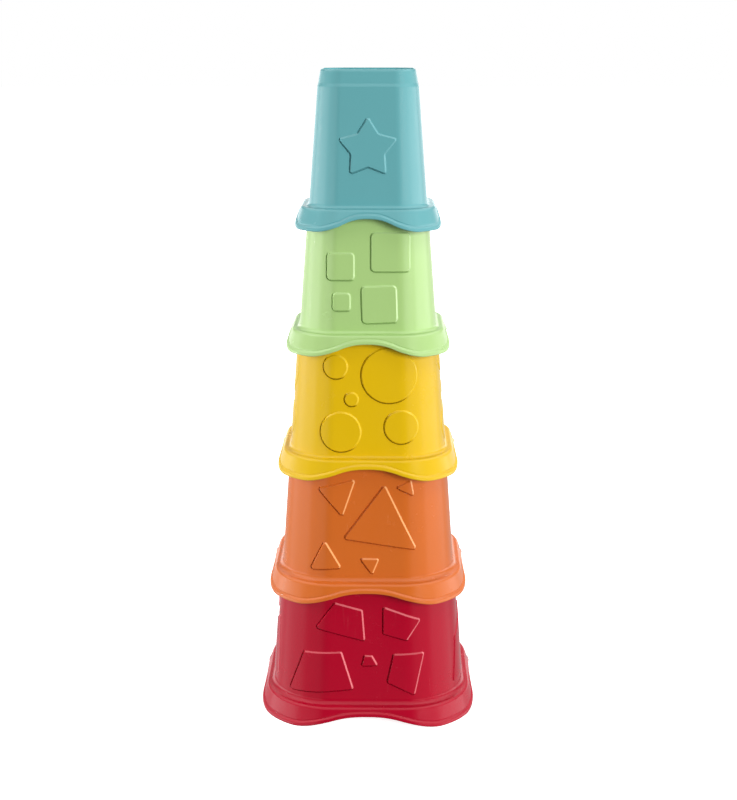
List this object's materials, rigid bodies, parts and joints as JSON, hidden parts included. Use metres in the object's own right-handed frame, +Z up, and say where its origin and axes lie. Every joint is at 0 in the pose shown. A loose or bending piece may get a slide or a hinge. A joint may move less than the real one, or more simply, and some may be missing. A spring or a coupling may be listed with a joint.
{
  "type": "stacking cup tower",
  "caption": "Tower of square cups stacked mouth down, each a tapered shell with a wavy beaded skirt, a foot ring and raised shapes; every cup lifts off the one below.",
  "frame": {"origin": "middle of the tower's base, on the surface that it stands on", "axes": "+Z up the tower; -Y is the front side; +X to the right seen from the front"},
  "size_m": [0.1366, 0.1366, 0.3999],
  "materials": {
    "red_plastic": "gloss",
    "orange_plastic": "gloss",
    "yellow_plastic": "gloss",
    "green_plastic": "gloss",
    "blue_plastic": "gloss"
  },
  "bodies": {
    "trapezoid_cup": {"trapezoid_cup": "red_plastic"},
    "triangle_cup": {"triangle_cup": "orange_plastic"},
    "circle_cup": {"circle_cup": "yellow_plastic"},
    "square_cup": {"square_cup": "green_plastic"},
    "star_cup": {"star_cup": "blue_plastic"}
  },
  "joints": [
    {"name": "lift_triangle_cup", "type": "slide", "parent": "trapezoid_cup", "child": "triangle_cup", "axis": [0, 0, 1], "range_m": [0, 0.04]},
    {"name": "lift_circle_cup", "type": "slide", "parent": "triangle_cup", "child": "circle_cup", "axis": [0, 0, 1], "range_m": [0, 0.04]},
    {"name": "lift_square_cup", "type": "slide", "parent": "circle_cup", "child": "square_cup", "axis": [0, 0, 1], "range_m": [0, 0.04]},
    {"name": "lift_star_cup", "type": "slide", "parent": "square_cup", "child": "star_cup", "axis": [0, 0, 1], "range_m": [0, 0.04]}
  ]
}
